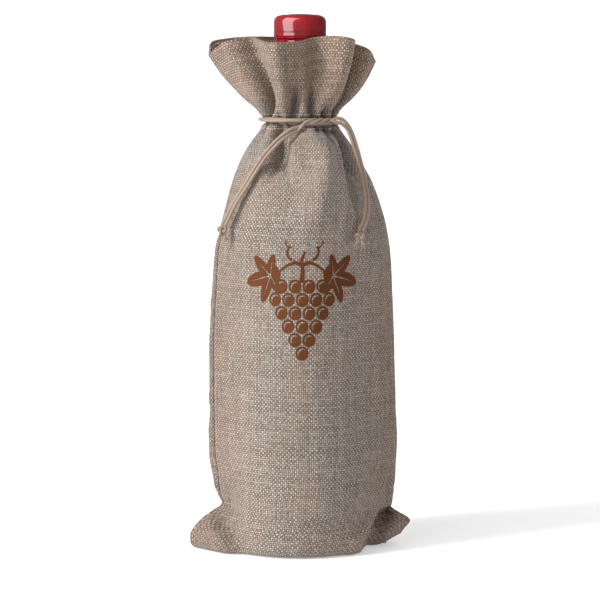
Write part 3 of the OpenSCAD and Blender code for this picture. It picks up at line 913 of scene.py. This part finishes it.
def motif_field(x, z):
    """Positive inside the print: grapes under a stalk, with a leaf and a tendril on each
    side. (0, 0) is the middle of the top row of grapes."""
    fields = []
    for i, count in enumerate(GRAPE_ROWS):
        for k in range(count):
            cx, cz = (k - (count - 1) / 2) * GRAPE_PITCH, -i * GRAPE_PITCH * math.sqrt(3) / 2
            off = np.hypot(x - cx, z - cz)
            shine = np.minimum(SHINE_R - off, np.hypot(x - cx - 0.75, z - cz + 0.75) - SHINE_R)
            fields.append(np.minimum(GRAPE_PITCH / 2 - 0.35 - off, -shine))
    fields.append(line_field(x, z, [(0.0, 3.5), (0.4, 9), (-0.6, 14.5), (1.2, 19)], 1.5))
    stem = [(0.3, 12.0), (4.5, 13.4), (9.5, 11.6), (14, 8.5)]
    curl = [(7.0 + 5.2 * t + 2.4 * (1 - t) * math.sin(9.0 * t),
             15.0 + 10.5 * t + 2.4 * (1 - t) * (1 - math.cos(9.0 * t))) for t in np.linspace(0, 1, 16)]
    for side in (-1, 1):
        fields += [line_field(x * side, z, stem, 1.2), leaf_field(x * side, z, (20.5, 5.5), 18.0, -0.25),
                   line_field(x * side, z, curl, 0.75)]
    return np.maximum.reduce(fields)


def inside_outline(field):
    """Cuts a grid along the zero line of its field: points in grid steps, and faces."""
    known, faces = {}, []

    def number(key, spot):
        return known.setdefault(key, (len(known), spot))[0]

    highest = np.maximum.reduce([field[:-1, :-1], field[1:, :-1], field[:-1, 1:], field[1:, 1:]])
    for i, j in zip(*np.nonzero(highest > 0)):
        ring = [(i, j), (i, j + 1), (i + 1, j + 1), (i + 1, j)]
        face = []
        for a, b in zip(ring, ring[1:] + ring[:1]):
            fa, fb = field[a], field[b]
            if fa > 0:
                face.append(number(a, a))
            if (fa > 0) != (fb > 0):
                t = fa / (fa - fb)
                spot = (a[0] + (b[0] - a[0]) * t, a[1] + (b[1] - a[1]) * t)
                face.append(number((min(a, b), max(a, b)), spot))
        if len(face) >= 3:
            faces.append(face)
    return np.array([spot for _, spot in known.values()], float), faces


def add_print(panel, material):
    """The ink as a film on the front panel, cut along the outline of the motif."""
    step, half_w, low, high = 0.32, 41.0, -42.0, 28.0
    x = np.arange(-half_w, half_w + step, step)
    z = np.arange(low, high + step, step)
    spots, faces = inside_outline(motif_field(*np.meshgrid(x, z)))
    top_row_z, middle_x = 154.0, 0.6
    column = np.argmin(np.abs(panel.points[np.argmin(np.abs(panel.up - 180)), :, 0] - middle_x))
    across = panel.across[column] + x[0] + spots[:, 1] * step
    up_at_top = np.interp(top_row_z, panel.points[:, column, 2], panel.up)
    up = up_at_top + z[0] + spots[:, 0] * step
    points = panel.on_cloth(across, up, 0.12)
    return add_mesh("printed_grapes", points, faces, material, together(across, up))


# ---- Drawstrings held by the bag ----
HELD_R = 21.8
HELD_STEP = 0.92
KNOT_START, KNOT_END = 272.0, 322.0


def ring_point(angle, radius, z):
    turn = np.radians(angle)
    return together(radius * np.cos(turn), radius * np.sin(turn), z)


def add_held_drawstring(side, material):
    """The string's loop in the channel, and its two strands from the seam to the knot."""
    ring_r, lift = 17.2, HELD_STEP if side == "left" else -HELD_STEP
    exit_angle, knot_angle = (180.0, KNOT_START) if side == "left" else (360.0, KNOT_END)
    turn = 1 if knot_angle > exit_angle else -1
    ring = ring_point(np.linspace(0, 360, 150, endpoint=False), ring_r, TIE_Z + lift)
    parts = [tube(ring, CORD_D / 2, closed=True)]
    for layer in (-1, 1):
        start = exit_angle - turn * layer * 3.0
        share = np.linspace(0, 1, 22)
        angle = start + (knot_angle - start) * share
        radius = ring_r + (HELD_R + layer * HELD_STEP - ring_r) * smooth_step(share / 0.1)
        level = TIE_Z + lift - layer * 0.45 * np.sin(math.pi * np.clip(share * 1.1, 0, 1))
        parts.append(tube(smooth_route(ring_point(angle, radius, level)), CORD_D / 2, relief=CORD_RELIEF))
    return add_joined(side + "_drawstring_cord", parts, material)


def add_half_knot(material):
    """The two doubled strings turn once round each other in front."""
    helix_r, steps = 1.27, 26
    parts = []
    for phase, from_left, tail in ((45, True, "right_tail_a"), (135, True, "right_tail_b"),
                                   (225, False, "left_tail_a"), (315, False, "left_tail_b")):
        share = np.linspace(0.0, 0.9, steps) if from_left else np.linspace(1.0, 0.1, steps)
        angle = KNOT_START + (KNOT_END - KNOT_START) * share
        turn = np.radians(phase + 360.0 * share)
        line = ring_point(angle, HELD_R + helix_r * np.cos(turn), TIE_Z + helix_r * np.sin(turn))
        free = strand_path(tail)
        out, onward = free[0], free[2]
        route = np.vstack([line, (line[-1] + out) / 2 + [0, -0.5, 0], out, onward])
        parts.append(tube(smooth_route(route), CORD_D / 2, relief=CORD_RELIEF))
    return add_joined("half_knot_cords", parts, material)


# ---- Capsule ----
def lathe(profile, sides, wrinkle=None):
    """Points and quads of an outline of (radius, z) turned round the Z axis."""
    turn = math.tau * np.arange(sides) / sides
    radius, height = np.repeat(np.transpose(profile)[..., None], sides, 2)
    if wrinkle:
        radius, height = wrinkle(radius, height, turn)
    points = together(radius * np.cos(turn), radius * np.sin(turn), height).reshape(-1, 3)
    return points, ring_faces(len(profile), sides)


LIP_BEND = 3.95


def add_capsule_sleeve(material):
    """Shrunk foil over the bottle's neck, with a rolled shoulder, two ribs and a tear line."""
    low, high = cad_box("capsule_sleeve")
    outer, foot = high[0], low[2]
    top = cad_box("bottle_glass")[1][2] + 0.35
    collar = top - 12.6
    z = np.concatenate([np.linspace(foot, collar, 60), np.linspace(collar + 0.35, top - LIP_BEND, 36)])
    sleeve = np.interp(z, [foot, collar - 0.5], [outer - 0.35, outer - 0.55])
    ribs = (0.16 * hump(z - (top - 11.2), 0.5) - 0.14 * hump(z - (top - 9.6), 0.35)
            + 0.08 * hump(z - (foot + 2), 0.5))
    turn = math.pi / 2 * np.arange(1, 15) / 14
    lip = zip(outer - LIP_BEND * (1 - np.cos(turn)), top - LIP_BEND * (1 - np.sin(turn)))
    profile = [*zip(np.where(z < collar - 0.5, sleeve, outer) + ribs, z), *lip,
               (outer - LIP_BEND - 0.8, top)]

    def wrinkle(radius, height, turn):
        shrink = 0.07 * ripple(turn * 14.0, height, 9, 31) + 0.05 * ripple(turn * 14.0, height * 0.3, 4, 32)
        notch = hump(turn - math.radians(289), 0.05, 4) * smooth_step((height - (top - 1.6)) / 0.8)
        return radius + shrink, height - 0.3 * notch

    points, faces = lathe(profile, 144, wrinkle)
    return thicken(add_mesh("capsule_foil_sleeve", points, faces, material), 0.22)


def add_capsule_disc(material):
    """The capsule's top disc, a little domed, with a raised rim and a round panel."""
    outer, _, top = cad_box("capsule_top")[1] + [0.1, 0, 0.3]
    radius = np.concatenate([np.linspace(outer, 0.6, 40), [0.05]])
    dome = 0.8 * (1 - (radius / outer) ** 2)
    ring = 0.15 * hump(radius - outer * 0.86, 0.5) - 0.2 * hump(radius - outer * 0.62, 0.4)
    points, faces = lathe(list(zip(radius, top - 0.35 + dome + ring)), 96)
    faces.append([len(points) - 96 + k for k in range(96)])
    return thicken(add_mesh("capsule_foil_disc", points, faces, material), 0.25)


# ---- Build ----
def place(piece, body, slot, node):
    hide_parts(node)
    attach(piece, body)
    return piece


def build_cords():
    cord = braid("cord_braid")
    fibres = mottled("cord_fibres", {"Roughness": 0.6, "Sheen Weight": 0.3}, 1400.0, 2.0,
                     rgb(112, 90, 73), rgb(172, 150, 131), 0.00005, 0.5)
    for side in ("left", "right"):
        body = side + "_tails"
        knot = place(add_end_knot(side, cord), body, "cord", side + "_end_knot")
        frays = place(add_frays(side, fibres), body, "cord", side + "_frays")
        for strand in ("a", "b"):
            name = side + "_tail_" + strand
            path = strand_path(name)
            strand_tube = tube(path, FREE_CORD_R, relief=CORD_RELIEF)
            piece = place(add_joined(name + "_cord", [strand_tube], cord), body, "cord", name)
        place(add_held_drawstring(side, cord), "bag", "cord", side + "_drawstring")
    place(add_half_knot(cord), "bag", "cord", "half_knot")


def build_bag():
    outside = linen("linen", rgb(186, 179, 171), rgb(111, 98, 87), rgb(60, 47, 39))
    # The inside cloth is the same linen in lighter colours: painted light on the inner face, which lies in
    # the shade of the ruffle.
    inside = linen("linen_inside", rgb(200, 190, 179), rgb(134, 117, 103), rgb(74, 58, 48))
    thread = mottled("thread", {"Roughness": 0.7}, 1800.0, 2.0, rgb(150, 130, 108),
                     rgb(214, 198, 176), 0.00008, 0.6)
    rows = np.concatenate([np.arange(0, 36, 3.0), np.arange(36, 66, 1.0), np.arange(66, 246, 1.8),
                           np.arange(246, RIM_AT, 1.0), [RIM_AT]])
    front, back = Panel(False, rows), Panel(True, rows)
    stitches = place(add_channel_stitches([front, back], thread), "bag", "thread", "channel_stitching")
    printed = place(add_print(front, ink()), "bag", "ink", "printed_motif")
    for panel, name, extras in ((front, "front_panel", [printed, stitches]), (back, "back_panel", [])):
        piece = place(add_panel(panel, name + "_cloth", outside), "bag", "linen", name)
    for is_back, name in ((False, "front_facing"), (True, "back_facing")):
        piece = place(add_facing(is_back, name + "_cloth", inside), "bag", "linen", name)
    for side in ("left", "right"):
        place(add_side_allowance(side, front, inside), "bag", "linen", side + "_side_seam")
    place(add_bottom_allowance(inside), "bag", "linen", "bottom_seam")


def build_bottle():
    foil = capsule_material()
    place(add_capsule_sleeve(foil), "bottle", "capsule", "capsule_sleeve")
    place(add_capsule_disc(foil), "bottle", "capsule", "capsule_top")
    wine = mottled("red_wine", {"Roughness": 0.05}, 20.0, 1.0, (0.05, 0.002, 0.008, 1.0),
                   (0.09, 0.004, 0.014, 1.0))
    for node, material in (("bottle_glass", glass_material()), ("wine", wine), ("cork", cork_material())):
        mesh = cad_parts[node].data
        mesh.materials.clear()
        mesh.materials.append(material)
        mesh.polygons.foreach_set("material_index", [0] * len(mesh.polygons))


add_camera()
build_cords()
build_bag()
build_bottle()
add_floor()
add_studio()
